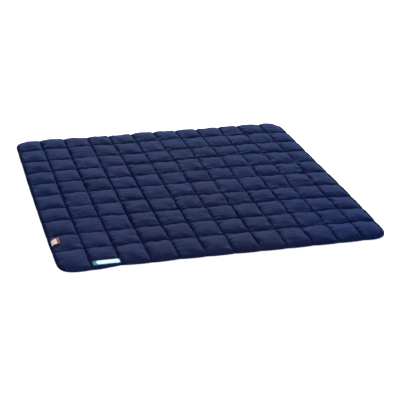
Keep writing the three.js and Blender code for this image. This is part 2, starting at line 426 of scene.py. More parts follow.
def blow_up(start):
    """Simulates the top cloth, pinned along its seams, and returns its points."""
    index = np.arange(U.size).reshape(U.shape)
    mesh = bpy.data.meshes.new("cloth_start")
    mesh.from_pydata(start.reshape(-1, 3).tolist(), [], grid_faces(index).tolist())
    cloth = add_object("cloth_start", mesh)
    cloth.vertex_groups.new(name="sewn").add(index[sewn].tolist(), 1.0, "REPLACE")
    modifier = cloth.modifiers.new("Cloth", "CLOTH")
    for key, value in CLOTH.items():
        setattr(modifier.settings, key, value)
    modifier.settings.effector_weights.gravity = 0
    modifier.point_cache.frame_end = SIM_FRAMES + 1
    for number in range(1, SIM_FRAMES + 1):
        bpy.context.scene.frame_set(number)
    evaluated = cloth.evaluated_get(bpy.context.evaluated_depsgraph_get())
    points = read_vectors(evaluated.data.vertices, "co")
    bpy.data.objects.remove(cloth)
    bpy.data.meshes.remove(mesh)
    bpy.context.scene.frame_set(1)
    return points.reshape(start.shape)


# %% Each pocket's own creases
def inner_pockets(values):
    """Values on the grid, sorted by column, step across, row and step along."""
    steps = len(POCKET_LINES)
    skip = EDGE_STEPS + steps
    inner = values[skip:-1 - skip, skip:-1 - skip]
    return inner.reshape(COLUMNS - 2, steps, ROWS - 2, steps, *values.shape[2:])


def mean_section(height):
    """Prints the mean section through the inner pockets, in mm."""
    mean = inner_pockets(height).mean((0, 2)) / MM
    middle = len(POCKET_LINES) // 2
    print("across:", mean[:, middle].round(1))
    print("along: ", mean[middle].round(1))
    print("diagonal:", np.diag(mean).round(1))


def own_creases(moved):
    """What each pocket does apart from the average of all inner pockets."""
    steps = len(POCKET_LINES)
    across = (np.arange(moved.shape[0]) - EDGE_STEPS) % steps
    along = (np.arange(moved.shape[1]) - EDGE_STEPS) % steps
    average = inner_pockets(moved).mean((0, 2))[across][:, along]
    return np.where(sewn[..., None], 0, moved - average)


# %% Blow the pockets up
START_SHARE = 0.85
START_STIR = 0.25 * MM                # an uneven start, so that folds can choose a side
OWN_SHARE = 0.6
LARGEST_MOVE = 2.0 * MM

rng = np.random.default_rng(7)
X, Y = plan(U, V)
Z, _ = padding(U, V, START_SHARE)
start = np.stack([X, Y, Z + np.where(sewn, 0, rng.normal(0, START_STIR, U.shape))], -1)
full = np.stack([X, Y, padding(U, V, 1.0)[0]], -1)
moved = own_creases(blow_up(start) - full)
length = np.linalg.norm(moved, axis=-1, keepdims=True)
top = full + moved * np.minimum(OWN_SHARE, LARGEST_MOVE / np.maximum(length, TINY))
print("highest pocket, mm:", round(top[..., 2].max() / MM, 1))
mean_section(full[..., 2])
mean_section(top[..., 2])

# %% [markdown]
# ## Underside and edge
#
# Underneath, every pocket is pressed flat on the floor, and only the seams
# arch up. The underside needs half as many grid lines, so each of its outer
# steps meets two of the top's. The edge is a narrow rounded strip between.

# %% Underside
SEAM_BOTTOM = 3.0 * MM
UNDER_SHOULDER = 0.2


def under_height(u, v, level):
    """The groove along the seams underneath, and 0 where it lies on the floor."""
    groove = np.zeros_like(u)
    for place, count in ((u, COLUMNS), (v, ROWS)):
        from_seam = np.abs(place - np.round(place))
        rising = smooth(1 - from_seam / UNDER_SHOULDER)
        groove = np.maximum(groove, np.where(by_inner_seam(place, count), rising, 0))
    return SEAM_BOTTOM * groove * level


under_u, under_v = U[::2, ::2], V[::2, ::2]
_, under_level = padding(under_u, under_v, 1.0)
under_z = under_height(under_u, under_v, under_level)
under = np.stack([*plan(under_u, under_v), under_z], -1)
print("underside's highest seam, mm:", round(under_z.max() / MM, 1))

# %% [markdown]
# Top, underside and edge become one closed mesh. The two grids could be joined
# with a bridge of the edit mode, but point numbers worked out here can't go
# wrong. Every point keeps its place as an attribute, so that later steps and
# the material still know where its seams are after the mesh is made finer.

# %% Round the edge
EDGE_ROUNDING = 1.1 * MM


def rim(index):
    """The point numbers round a grid, counter-clockwise from above."""
    return np.concatenate([index[:-1, 0], index[-1, :-1], index[:0:-1, -1], index[0, :0:-1]])


top_index = np.arange(U.size).reshape(U.shape)
under_index = U.size + np.arange(under_u.size).reshape(under_u.shape)
top_rim, under_rim = rim(top_index), rim(under_index)
points = np.concatenate([top.reshape(-1, 3), under.reshape(-1, 3)])
places = np.concatenate([
    np.stack([U.ravel(), V.ravel(), np.ones(U.size)], -1),
    np.stack([under_u.ravel(), under_v.ravel(), np.zeros(under_u.size)], -1)])

# the middle line of the edge, which stays on the outline while the rims draw in
middle = points[top_rim].copy()
middle[:, 2] *= 0.5
ahead = np.roll(middle, -1, 0) - np.roll(middle, 1, 0)
outwards = np.stack([ahead[:, 1], -ahead[:, 0], 0 * ahead[:, 0]], -1)
outwards /= np.linalg.norm(outwards, axis=1, keepdims=True)
points[top_rim] -= outwards * EDGE_ROUNDING
points[under_rim] -= outwards[::2] * EDGE_ROUNDING
middle_index = len(points) + np.arange(len(middle))
points = np.concatenate([points, middle])
places = np.concatenate([places, places[top_rim] * [1, 1, 0.5]])
print("edge:", len(middle), "points round")

# %% Put the blanket together
def add_vectors(mesh, name, values):
    """Keeps a vector for every point of a mesh in an attribute."""
    write_vectors(mesh.attributes.new(name, "FLOAT_VECTOR", "POINT").data, "vector", values)


next_middle = np.roll(middle_index, -1)
upper_strip = np.stack([middle_index, next_middle, np.roll(top_rim, -1), top_rim], -1)
lower_strip = np.stack([
    under_rim, np.roll(under_rim, -1),
    np.roll(middle_index, -2)[::2], next_middle[::2], middle_index[::2]], -1)
faces = grid_faces(top_index).tolist() + grid_faces(under_index)[:, ::-1].tolist()
faces += upper_strip.tolist() + lower_strip.tolist()

quilt_mesh = bpy.data.meshes.new("quilt_cloth")
quilt_mesh.from_pydata(points.tolist(), [], faces)
add_vectors(quilt_mesh, "place", places)
quilt_mesh.validate()
quilt = add_object("quilt_cloth", quilt_mesh)
print("blanket:", len(quilt_mesh.vertices), "points,", len(quilt_mesh.polygons), "faces")

# %% [markdown]
# One level of Subdivision Surface rounds the cloth. It would melt the seams
# away too, so their edges are given a crease, which holds them down sharply.

# %% Crease the seams and subdivide
SEAM_CREASE = 0.75


def apply_modifiers(piece):
    """Replaces a piece's mesh with what its modifiers make of it."""
    evaluated = piece.evaluated_get(bpy.context.evaluated_depsgraph_get())
    mesh = bpy.data.meshes.new_from_object(evaluated)
    piece.modifiers.clear()
    piece.data = mesh


seam_point = np.abs(places[:, :2] % 1) < SAME       # on a column seam, on a row seam
seam_point[U.size:] = False                         # the underside and the edge stay soft
ends = np.empty(len(quilt_mesh.edges) * 2, np.int32)
quilt_mesh.edges.foreach_get("vertices", ends)
one, two = ends.reshape(-1, 2).T
same_line = np.abs(places[one] - places[two])[:, :2] < SAME
creased = (seam_point[one] & seam_point[two] & same_line).any(1)
crease = quilt_mesh.attributes.new("crease_edge", "FLOAT", "EDGE")
crease.data.foreach_set("value", np.where(creased, SEAM_CREASE, 0).astype(np.float32))
subdivision = quilt.modifiers.new("smooth", "SUBSURF")
subdivision.levels = subdivision.render_levels = 1
apply_modifiers(quilt)
print("creased:", int(creased.sum()), "edges; subdivided:", len(quilt.data.vertices), "points")

# %% [markdown]
# ## Puckers
#
# Thread pulls the cloth together along a seam, and the spare cloth stands in
# short ripples that run away from the seam and fade within two or three
# centimetres. They are strongest where two seams cross, and there they spread
# like a star. The seams on the left were sewn tight and deep, the ones on the
# right are looser and the cloth between them is more crumpled. The subdivided
# mesh is fine enough to carry all this, so it is moved points, not only bump.

# %% Ripples beside the seams
PUCKER_LENGTH = 15.0 * MM
PUCKER_REACH = 14.0 * MM
PUCKER_START = 3.0 * MM
TABLE_SPARE = 50.0 * MM
TIGHTNESS_SPREAD = 0.5
TIGHTNESS_STEPS, TIGHTNESS_KNOTS = 1.5, 30


def along_table(table, row, place):
    """A smooth random value at a place along one seam."""
    first = np.floor(place).astype(int)
    step = smooth(place - first)
    first = np.clip(first, 0, table.shape[1] - 2)
    return table[row, first] * (1 - step) + table[row, first + 1] * step


def seam_ripples(across, along, pitch, length, count, seed):
    """Ripples that one family of seams raises, and the distance to its next seam."""
    nearest = np.round(across).astype(int)
    distance = np.abs(across - nearest) * pitch
    side = (across > nearest).astype(int)
    knots = int((length + TABLE_SPARE) / PUCKER_LENGTH * 2) + 4
    table = np.random.default_rng(seed).uniform(-1, 1, (count * 2 + 4, knots))
    wave = along_table(table, nearest * 2 + side, along / PUCKER_LENGTH * 2)
    fade = np.exp(-distance / PUCKER_REACH) * smooth(distance / PUCKER_START)
    return wave * fade, distance


def tightness(seam, place, seed):
    """A smooth random factor along each seam, about one value to a pocket."""
    low, high = 1 - TIGHTNESS_SPREAD, 1 + TIGHTNESS_SPREAD
    table = np.random.default_rng(seed).uniform(low, high, (COLUMNS + 1, TIGHTNESS_KNOTS))
    return along_table(table, np.round(seam).astype(int), place * TIGHTNESS_STEPS)


# %% Stars round the crossings
STAR_REACH = 11.0 * MM
STAR_START = 5.0 * MM
FAR_AWAY = 1.0


def stars(u, v):
    """Folds that spread from every crossing, and how near the crossing is."""
    column, row = np.round(u).astype(int), np.round(v).astype(int)
    east, north = (u - column) * COLUMN_PITCH, (v - row) * ROW_PITCH
    radius, angle = np.hypot(east, north), np.arctan2(north, east)
    star_rng = np.random.default_rng(21)
    phase = star_rng.uniform(0, 2 * np.pi, (COLUMNS + 1, ROWS + 1))[column, row]
    arms = star_rng.integers(5, 9, (COLUMNS + 1, ROWS + 1))[column, row]
    fade = np.exp(-radius / STAR_REACH) * smooth(radius / STAR_START)
    inner = (column > 0) & (column < COLUMNS) & (row > 0) & (row < ROWS)
    folds = np.cos(arms * angle + phase) * fade
    return np.where(inner, folds, 0), np.where(inner, radius, FAR_AWAY)


quilt_mesh = quilt.data
u, v, on_top = read_vectors(quilt_mesh.attributes["place"].data, "vector").T
ripple_u, distance_u = seam_ripples(u, v * ROW_PITCH, COLUMN_PITCH, DEPTH, COLUMNS, 11)
ripple_v, distance_v = seam_ripples(v, u * COLUMN_PITCH, ROW_PITCH, WIDTH, ROWS, 12)
star, from_crossing = stars(u, v)
tight_u, tight_v = tightness(u, v, 31), tightness(v, u, 32)
print("ripples from", ripple_u.min().round(2), "to", ripple_u.max().round(2))

# %% [markdown]
# A seam is also a groove. How deep it is changes over the blanket: the column
# seams are deep on the left and shallow on the right and at the back, and every
# seam is tighter in one pocket than in the next. So the groove is one curve
# times a few slow factors, and not the same everywhere.

# %% Where the seams are tight
LAST_SEAMS_LOOSER = 0.65
MIDDLE_TIGHTER = 0.4
BACK_LOOSER = 0.6


def rise(place, start, over):
    """0 up to a place, and softly up to 1 over the next pockets."""
    return smooth((place - start) / over)


column, _, padded_u = in_pocket(u, COLUMNS, FIRST_COLUMN, LAST_COLUMN)
row, _, padded_v = in_pocket(v, ROWS, FIRST_ROW, LAST_ROW)
away_from_edge = seam_level(column, padded_u, COLUMNS) * seam_level(row, padded_v, ROWS)
inner_u, inner_v = by_inner_seam(u, COLUMNS), by_inner_seam(v, ROWS)
upper = smooth(on_top * 2 - 1)
to_right = rise(u, 3.5, 4)
last_seams = 1 + LAST_SEAMS_LOOSER * (rise(u, 5.5, 2) * MIDDLE_TIGHTER - rise(u, 8.6, 2))
looser_back = 1 - BACK_LOOSER * rise(u, 3.0, 1.0) * rise(v, 5.5, 1.5)
print("column seams' tightness from", last_seams.min().round(2), "to", last_seams.max().round(2))

# %% Grooves, and the puckered top
COLUMN_GROOVE_LEFT, COLUMN_GROOVE_RIGHT = 2.8 * MM, 1.3 * MM
ROW_GROOVE = 1.6 * MM
GROOVE_WIDTH_LEFT, GROOVE_WIDTH_RIGHT = 3.6 * MM, 2.6 * MM
CROSSING_DIP, CROSSING_WIDTH = 1.0 * MM, 5.0 * MM
PUCKER_HEIGHT, STAR_HEIGHT = 1.0 * MM, 0.7 * MM
COLUMN_RIPPLES, ROW_RIPPLES = 1.2, 0.8
CRUMPLE_RIGHT = 0.7

column_groove = COLUMN_GROOVE_LEFT + (COLUMN_GROOVE_RIGHT - COLUMN_GROOVE_LEFT) * to_right
column_groove = column_groove * last_seams * looser_back
groove_width = GROOVE_WIDTH_LEFT + (GROOVE_WIDTH_RIGHT - GROOVE_WIDTH_LEFT) * to_right
groove_u = np.where(inner_u, np.exp(-(distance_u / groove_width) ** 2), 0)
groove_v = np.where(inner_v, np.exp(-(distance_v / GROOVE_WIDTH_RIGHT) ** 2), 0)
groove = np.maximum(groove_u * column_groove * tight_u, groove_v * ROW_GROOVE * tight_v)
groove = groove + CROSSING_DIP * np.exp(-(from_crossing / CROSSING_WIDTH) ** 2)
crumpled = 1 + CRUMPLE_RIGHT * to_right
ripples = PUCKER_HEIGHT * (COLUMN_RIPPLES * ripple_u + ROW_RIPPLES * ripple_v)
co = read_vectors(quilt_mesh.vertices, "co")
co[:, 2] += upper * away_from_edge * (crumpled * (ripples + STAR_HEIGHT * star) - groove)
print("puckered top, mm:", round(co[:, 2].min() / MM, 2), "to", round(co[:, 2].max() / MM, 2))

# %% [markdown]
# The hem is turned in and sewn round, five millimetres from the edge. Its seam
# is a shallow groove. An attribute tells the cloth's material where seams are:
# its x and y are how near the next column and row seams are, and its z is the
# painted shade: how strongly the material paints the cloth darker in a seam and
# along the hems at the sides, as if little light reached there.

# %% Hem groove
HEM_GROOVE, HEM_WIDTH = 0.7 * MM, 1.6 * MM

from_sides = dict(
    left=u * FIRST_COLUMN, right=(COLUMNS - u) * LAST_COLUMN,
    front=v * FIRST_ROW, back=(ROWS - v) * LAST_ROW)
from_edge = np.minimum.reduce(list(from_sides.values()))
co[:, 2] -= upper * HEM_GROOVE * np.exp(-((from_edge - EDGE_MARGIN) / HEM_WIDTH) ** 2)
write_vectors(quilt_mesh.vertices, "co", co)
quilt_mesh.update()
print("hem runs", round(EDGE_MARGIN / MM, 1), "mm from the edge")

# %% Nearness of seams, and painted shade
GATHER_REACH = 18.0 * MM
# painted shade: how far from a seam, and how strongly, the cloth is painted darker, and the same
# for the hems at the sides
SHADE_REACH_LEFT, SHADE_REACH_RIGHT, SHADE_REACH_BEFORE = 7.0 * MM, 3.5 * MM, 2.8 * MM
SEAM_SHADE_LEFT, SEAM_SHADE_RIGHT, SEAM_SHADE_ROW = 0.85, 0.45, 0.2
HEM_SHADE = dict(left=0.6, right=1.0, front=0.0, back=0.0)
HEM_FADE = dict(left=8.0 * MM, right=10.0 * MM, front=5.0 * MM, back=5.0 * MM)

# painted shade in the seams: stronger and wider on the left, and reaching less far before a seam
# than after it
seam_shade_strength = (SEAM_SHADE_LEFT + (SEAM_SHADE_RIGHT - SEAM_SHADE_LEFT) * to_right) * last_seams * looser_back
reach = SHADE_REACH_LEFT + (SHADE_REACH_RIGHT - SHADE_REACH_LEFT) * to_right
reach = np.where(u < np.round(u), SHADE_REACH_BEFORE, reach)
painted_shade_u = np.where(inner_u, np.exp(-distance_u / reach), 0) * seam_shade_strength * (0.5 + 0.5 * tight_u)
painted_shade_v = np.where(inner_v, np.exp(-distance_v / SHADE_REACH_RIGHT), 0) * SEAM_SHADE_ROW * tight_v
# painted shade along the hems, strongest at the right edge and then the left
painted_hem_shade = [
    HEM_SHADE[side] * smooth(1 - (gap - EDGE_MARGIN) / HEM_FADE[side])
    for side, gap in from_sides.items()]
painted_shade = np.clip(np.maximum.reduce([painted_shade_u, painted_shade_v, *painted_hem_shade]), 0, 1)
near_u = np.where(inner_u, np.exp(-distance_u / GATHER_REACH), 0)
near_v = np.where(inner_v, np.exp(-distance_v / GATHER_REACH), 0)
add_vectors(quilt_mesh, "seams", np.stack([near_u, near_v, painted_shade], -1))
print("share of the cloth deep in a seam:", (painted_shade > 0.5).mean().round(3))

# %% [markdown]
# ## Nodes in short
#
# Every material, the world and the stitches are node trees. Nodes could be
# placed by hand in the editor. Here a small class adds them, so that a tree
# reads like a sum: what goes in, and what comes out.

# %% Node helpers
class Tree:
    """A short way to add and join the nodes of one tree."""

    def __init__(self, tree):
        self.tree = tree
        self.tree.nodes.clear()

    def fill(self, node, inputs):
        """Links or sets a node's inputs, by their name or number."""
        for name, value in inputs.items():
            if isinstance(value, bpy.types.NodeSocket):
                self.tree.links.new(value, node.inputs[name])
            else:
                node.inputs[name].default_value = value

    def add(self, kind, inputs=None, **settings):
        """Adds a node and returns its outputs."""
        node = self.tree.nodes.new(kind)
        for key, value in settings.items():
            setattr(node, key, value)
        self.fill(node, inputs or {})
        return node.outputs

    def split(self, vector):
        return self.add("ShaderNodeSeparateXYZ", {0: vector})

    def attribute(self, name):
        return self.add("ShaderNodeAttribute", attribute_name=name)["Vector"]

    def math(self, operation, a, b=0.0, c=0.0):
        return self.add("ShaderNodeMath", {0: a, 1: b, 2: c}, operation=operation)[0]

    def noise(self, where, scale, detail=2.0, roughness=0.5):
        inputs = {"Vector": where, "Scale": scale, "Detail": detail, "Roughness": roughness}
        return self.add("ShaderNodeTexNoise", inputs)["Fac"]

    def stretched(self, where, scale):
        return self.add("ShaderNodeMapping", {"Vector": where, "Scale": scale})[0]

    def mix(self, share, a, b, blend="MIX"):
        inputs = {"Factor": share, 6: a, 7: b}
        return self.add("ShaderNodeMix", inputs, data_type="RGBA", blend_type=blend)[2]

    def ramp(self, value, low, high, to_low=0.0, to_high=1.0):
        return self.add("ShaderNodeMapRange", {
            "Value": value, "From Min": low, "From Max": high,
            "To Min": to_low, "To Max": to_high})[0]

    def bump(self, height, distance, strength=1.0, under=None):
        inputs = {"Height": height, "Distance": distance, "Strength": strength}
        if under is not None:
            inputs["Normal"] = under
        return self.add("ShaderNodeBump", inputs)[0]


def shading(owner, shader="BsdfPrincipled", output="OutputMaterial"):
    """The tree of a material or of the world, with its one shader."""
    owner.use_nodes = True
    t = Tree(owner.node_tree)
    t.shader = t.tree.nodes.new("ShaderNode" + shader)
    t.add("ShaderNode" + output, {0: t.shader.outputs[0]})
    return t


def colour(red, green, blue):
    """A linear colour from the 0 to 255 numbers of a paint chart."""
    parts = []
    for part in (red, green, blue):
        part /= 255
        parts.append(part / 12.92 if part <= 0.04045 else ((part + 0.055) / 1.055) ** 2.4)
    return (*parts, 1.0)


# %% [markdown]
# ## Navy cloth
#
# The cover is a brushed microfibre, dark navy and matt, with a soft sheen where
# it turns away from the eye. Its hairs are far too fine to model, so their nap
# is noise: in the colour, in the roughness and in a faint bump. The dye is never
# quite even, and every pocket catches the brush another way, so a random tone
# goes with each pocket, and slow ramps go with the columns and rows; the ones
# that make the back rows lighter are a painted highlight. The seams and the two
# side edges are painted darker and bluer, as painted shade.

# %% The dye, with painted shade and a painted highlight
NAVY_COOL, NAVY_WARM = colour(22, 40, 63), colour(38, 35, 62)
NAVY_BLUER, NAVY_CORNER = colour(21, 35, 70), colour(6, 30, 80)
NAP_TIPS = colour(41, 53, 79)
# painted shade: the dark colours that the seams and the two side edges are painted with
SEAM_SHADE_NAVY, EDGE_SHADE_NAVY = colour(9, 16, 61), colour(4, 6, 16)


def pocket_tones(t, column, row):
    """Three random numbers from 0 to 1 for every pocket."""
    pocket = t.add("ShaderNodeCombineXYZ", {0: t.math("FLOOR", column), 1: t.math("FLOOR", row)})
    tone = t.add("ShaderNodeTexWhiteNoise", {"Vector": pocket[0]}, noise_dimensions="2D")
    return t.add("ShaderNodeSeparateColor", {0: tone["Color"]})


def navy_dye(t, where, place, painted_shade, nap):
    """The colour of the cloth, from its tone in each pocket to the painted shade in its seams and
    at its side edges.
    """
    column, row, _ = t.split(place)
    share, other, light = pocket_tones(t, column, row)
    cloud = t.ramp(t.noise(where, 26.0, 2.0, 0.5), 0.38, 0.62)
    patch = t.ramp(t.noise(where, 5.0, 1.0), 0.4, 0.6)

    # warmer or cooler in each pocket, and warmer towards the front
    warm = t.mix(other, cloud, t.ramp(share, 0.0, 1.0))
    warm = t.math("ADD", warm, t.ramp(row, 4.0, 0.0, 0.0, 0.3))
    base = t.mix(warm, NAVY_COOL, NAVY_WARM)

    # lighter or darker at random in each pocket; the back rows are painted lighter, and the back
    # edge most, as a painted highlight
    spread = t.math("MULTIPLY", t.ramp(light, 0.0, 1.0, -1.0, 1.0),
                    t.ramp(row, 2.0, 5.0, 0.14, 0.26))
    tone_and_painted_highlight = t.math("ADD", spread, 1.0)
    # painted highlight: the back rows, and the back edge most, are made lighter
    tone_and_painted_highlight = t.math("MULTIPLY", tone_and_painted_highlight, t.ramp(row, 5.0, 10.0, 1.0, 1.15))
    tone_and_painted_highlight = t.math("MULTIPLY", tone_and_painted_highlight, t.ramp(row, 9.1, 9.5, 1.0, 1.3))
    base = t.mix(1.0, base, tone_and_painted_highlight, "MULTIPLY")

    # bluer at the two sides, and most at the front right corner
    to_left = t.math("MULTIPLY", t.ramp(column, 2.5, 0.0), t.ramp(patch, 0.0, 1.0, 0.4, 0.9))
    to_right = t.math("MULTIPLY", t.ramp(column, 7.0, 11.5), t.ramp(patch, 0.0, 1.0, 0.7, 1.0))
    base = t.mix(t.math("MAXIMUM", to_left, to_right), base, NAVY_BLUER)
    to_corner = t.math("MULTIPLY", t.ramp(column, 8.0, 11.0), t.ramp(row, 4.0, 1.0))
    base = t.mix(t.math("MULTIPLY", to_corner, 0.9), base, NAVY_CORNER)

    # the nap's tips are pale, and the seams and the two side edges are painted dark, as painted
    # shade
    base = t.mix(t.ramp(nap, 0.3, 0.7, 0.15, 0.8), base, NAP_TIPS)
    base = t.mix(t.math("MULTIPLY", painted_shade, 0.9), base, SEAM_SHADE_NAVY)
    # rim is painted shade along the very left and right edges
    rim = t.math("MAXIMUM", t.ramp(column, 11.80, 11.90), t.ramp(column, 0.10, 0.06, 0.0, 0.7))
    return t.mix(t.math("MULTIPLY", rim, 0.85), base, EDGE_SHADE_NAVY)


# %% Gathers, crumples and nap
GATHERS = 4.5 * MM
CRUMPLES = 0.45 * MM
NAP = 0.15 * MM


def navy_relief(t, where, place, near_column, near_row, nap):
    """The bump: gathers run away from a seam, short along it and long across it."""
    by_column = t.noise(t.stretched(place, (1.6, 8.0, 0.0)), 1.0, 1.0)
    by_row = t.noise(t.stretched(place, (9.0, 1.6, 0.0)), 1.0, 1.0)
    gathers = t.math("ADD", t.math("MULTIPLY", by_column, near_column),
                     t.math("MULTIPLY", by_row, t.math("MULTIPLY", near_row, 0.4)))
    normal = t.bump(gathers, GATHERS)
    normal = t.bump(t.noise(where, 90.0, 3.0, 0.55), CRUMPLES, 1.0, normal)
    return t.bump(nap, NAP, 0.6, normal)


# %% Navy microfibre
def navy_microfibre():
    material = bpy.data.materials.new("navy microfibre")
    t = shading(material)
    where = t.add("ShaderNodeTexCoord")["Object"]
    place = t.attribute("place")
    near_column, near_row, painted_shade = t.split(t.attribute("seams"))
    nap = t.noise(t.stretched(where, (70.0, 130.0, 70.0)), 1.0, 3.0, 0.6)
    t.fill(t.shader, {
        "Base Color": navy_dye(t, where, place, painted_shade, nap),
        "Roughness": t.ramp(nap, 0.3, 0.7, 0.78, 0.9),
        "Sheen Weight": 0.085,
        "Sheen Roughness": 0.5,
        "Sheen Tint": (0.40, 0.49, 0.74, 1),
        "Specular IOR Level": 0.0,
        "Normal": navy_relief(t, where, place, near_column, near_row, nap)})
    return material


def shade_smooth(piece):
    for polygon in piece.data.polygons:
        polygon.use_smooth = True


quilt.data.materials.clear()
quilt.data.materials.append(navy_microfibre())
shade_smooth(quilt)
print("navy cloth has", len(quilt.data.materials[0].node_tree.nodes), "nodes")

# %% [markdown]
# ## Stitches
#
# A sewing machine leaves a row of short threads, each a few millimetres long,
# that dip back into the cloth at both ends. An array along a curve could carry
# them, but Geometry Nodes do it for all seams at once. A stitch is modelled as
# a small pointed bead. The seam is a line of points lying on the cloth, and the
# tree steps along it at an even spacing, turns each bead along the line and
# lets it stray a little.

# %% The stitch tree
STITCH = dict(
    Spacing=4.2 * MM, Length=3.4 * MM, Width=0.75 * MM, Height=0.55 * MM, Wander=0.18 * MM)


def stitch_tree():
    """Geometry Nodes that sew a line of stitches along every edge of a mesh."""
    group = bpy.data.node_groups.new("line of stitches", "GeometryNodeTree")

    def socket(name, kind, in_out="INPUT"):
        return group.interface.new_socket(name, in_out=in_out, socket_type="NodeSocket" + kind)

    socket("Seam", "Geometry")
    for name, value in STITCH.items():
        socket(name, "Float").default_value = value
    socket("Seed", "Int").default_value = 1
    socket("Thread", "Material")
    socket("Stitches", "Geometry", "OUTPUT")
    t = Tree(group)
    given = t.add("NodeGroupInput")

    line = t.add("GeometryNodeMeshToCurve", {"Mesh": given["Seam"]})
    steps = t.add("GeometryNodeResampleCurve", mode="LENGTH",
                  inputs={"Curve": line[0], "Length": given["Spacing"]})
    stray = t.add("FunctionNodeRandomValue", data_type="FLOAT_VECTOR",
                  inputs={0: (-1, -1, 0), 1: (1, 1, 0), "Seed": given["Seed"]})
    offset = t.add("ShaderNodeVectorMath", operation="SCALE",
                   inputs={0: stray[0], "Scale": given["Wander"]})
    moved = t.add("GeometryNodeSetPosition", {"Geometry": steps[0], "Offset": offset[0]})

    bead = t.add("GeometryNodeMeshUVSphere", {"Segments": 5, "Rings": 3, "Radius": 0.5})
    lie = t.add("GeometryNodeTransform",
                {"Geometry": bead[0], "Rotation": (0, math.pi / 2, 0)})
    size = t.add("ShaderNodeCombineXYZ",
                 {0: given["Length"], 1: given["Width"], 2: given["Height"]})
    along = t.add("GeometryNodeInputTangent")
    turn = t.add("FunctionNodeAlignRotationToVector", {"Vector": along[0]}, axis="X")
    sewn_on = t.add("GeometryNodeInstanceOnPoints", {
        "Points": moved[0], "Instance": lie[0], "Rotation": turn[0], "Scale": size[0]})

    real = t.add("GeometryNodeRealizeInstances", {0: sewn_on[0]})
    dyed = t.add("GeometryNodeSetMaterial", {"Geometry": real[0], "Material": given["Thread"]})
    t.add("NodeGroupOutput", {0: dyed[0]})
    return group


stitches_of = stitch_tree()
print("stitch tree takes:", [socket.name for socket in stitches_of.interface.items_tree])


# %% Thread and sewing
def thread(name, dye):
    """Sewing thread. The nap of the cloth covers it, so it hardly shines."""
    material = bpy.data.materials.new(name)
    t = shading(material)
    t.fill(t.shader, {"Base Color": dye, "Roughness": 0.8, "Specular IOR Level": 0.0})
    return material


def sew(name, lines, material, seed, **sizes):
    """Stitches along polylines, as one plain mesh."""
    points, edges = [], []
    for line in lines:
        first = len(points)
        points += [tuple(point) for point in line]
        edges += [(first + k, first + k + 1) for k in range(len(line) - 1)]
    mesh = bpy.data.meshes.new(name)
    mesh.from_pydata(points, edges, [])
    piece = add_object(name, mesh)
    nodes = piece.modifiers.new("stitches", "NODES")
    nodes.node_group = stitches_of
    values = {**STITCH, "Seed": seed, "Thread": material, **sizes}
    for socket in stitches_of.interface.items_tree:
        if socket.in_out == "INPUT" and socket.name in values:
            nodes[socket.identifier] = values[socket.name]
    apply_modifiers(piece)
    print(name, "has", len(piece.data.polygons), "faces")
    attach(piece, BODY)


# %% [markdown]
# The seams are known as places, so their points are found by dropping a line
# onto the finished cloth, from above for the top and from below for the
# underside. A stitch lies on the cloth and is sunk into it by a hair.

# %% Sew the seams and the hem
STITCH_SINK = 0.05 * MM
POINTS_TO_A_POCKET = 40
HEM_POINTS_ACROSS, HEM_POINTS_ALONG = 500, 460
OVERHEAD = 100 * MM
HEM_LEFT, HEM_RIGHT = EDGE_MARGIN / FIRST_COLUMN, COLUMNS - EDGE_MARGIN / LAST_COLUMN
HEM_FRONT, HEM_BACK = EDGE_MARGIN / FIRST_ROW, ROWS - EDGE_MARGIN / LAST_ROW


def tree_of(piece):
    """A search tree that finds where a line meets a piece."""
    return BVHTree.FromObject(piece, bpy.context.evaluated_depsgraph_get())


quilt_tree = tree_of(quilt)


def laid_on_cloth(u, v, from_above=True):
    """Points of the seam at places, lying on the top or the underside."""
    way = -1 if from_above else 1
    line = []
    for x, y in zip(*plan(u, v)):
        hit = quilt_tree.ray_cast(Vector((x, y, -way * OVERHEAD)), Vector((0, 0, way)))
        if hit[0]:
            line.append((x, y, hit[0].z + way * (STITCH_SINK - 0.5 * STITCH["Height"])))
    return line


def seam_lines(from_above):
    """A line on every column seam and every row seam, from hem to hem."""
    along = np.linspace(HEM_FRONT, HEM_BACK, POINTS_TO_A_POCKET * ROWS)
    across = np.linspace(HEM_LEFT, HEM_RIGHT, POINTS_TO_A_POCKET * COLUMNS)
    lines = [laid_on_cloth(along * 0 + column, along, from_above) for column in range(1, COLUMNS)]
    return lines + [laid_on_cloth(across, across * 0 + row, from_above) for row in range(1, ROWS)]


def hem_line(from_above):
    """A closed line round the blanket, on the hem groove."""
    across = np.linspace(HEM_LEFT, HEM_RIGHT, HEM_POINTS_ACROSS)
    along = np.linspace(HEM_FRONT, HEM_BACK, HEM_POINTS_ALONG)
    u = np.concatenate([across, along * 0 + HEM_RIGHT, across[::-1], along * 0 + HEM_LEFT])
    v = np.concatenate([across * 0 + HEM_FRONT, along, across * 0 + HEM_BACK, along[::-1]])
    return laid_on_cloth(u, v, from_above)


navy_thread = thread("navy thread", colour(21, 28, 61))
sew("seam_stitches_top", seam_lines(True), navy_thread, 5)
sew("seam_stitches_under", seam_lines(False), navy_thread, 6)
sew("hem_stitches", [hem_line(True), hem_line(False)], navy_thread, 7)

# %% [markdown]
# ## Labels
#
# Two woven labels are sewn on. The one at the front is a flat strip that holds
# the padding down. The one at the side is a folded loop: its two ends are
# caught in the edge seam, and its fold stands off the pocket. Both carry a
# bare panel. They could be draped by simulation, but they are too small and
# stiff to fold by themselves. A label is a small grid in its own flat measure,
# laid on the cloth, so the weave of the material can follow that measure.

# %% Label helpers
FRONT_LABEL = dict(left=89.0 * MM, front=13.5 * MM, width=68.0 * MM, depth=20.0 * MM)
SIDE_LABEL = dict(left=7.0 * MM, front=127.5 * MM, width=21.0 * MM, depth=27.0 * MM)
LABEL_CLEARANCE = 0.25 * MM


def label_box(size):
    """Low and high X and Y of a label, measured from the blanket's corner."""
    x, y = size["left"] - WIDTH / 2, size["front"] - DEPTH / 2
    return x, x + size["width"], y, y + size["depth"]


